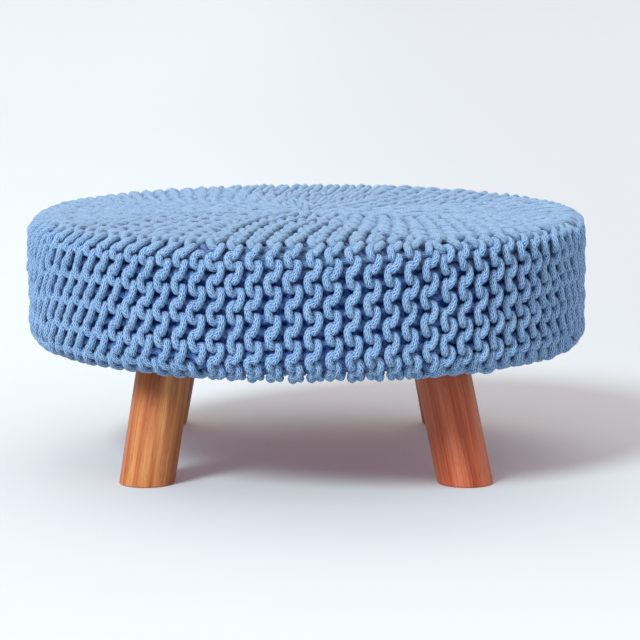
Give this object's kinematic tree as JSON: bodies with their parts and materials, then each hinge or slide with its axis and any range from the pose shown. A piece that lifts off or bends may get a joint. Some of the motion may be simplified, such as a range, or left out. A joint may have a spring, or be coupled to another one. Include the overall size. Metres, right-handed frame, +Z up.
{
  "type": "knitted footstool",
  "caption": "Low round footstool: a flat-topped seat in a chunky ribbed garter-stitch knit of blue cotton cord, standing on splayed round wooden legs.",
  "frame": {"origin": "on the floor, under the middle of the seat", "axes": "+Z up through the middle of the seat, +X to the viewer's right, the front facing -Y"},
  "size_m": [0.6, 0.5998, 0.268],
  "materials": {
    "knitted_cord": "matt braided cotton cord, knitted in garter stitch",
    "leg_wood": "oiled, satin, with the grain along the leg"
  },
  "bodies": {
    "root": {"knitted_seat": "knitted_cord", "leg_front_left": "leg_wood", "leg_front_right": "leg_wood", "leg_back_left": "leg_wood", "leg_back_right": "leg_wood"}
  },
  "joints": []
}
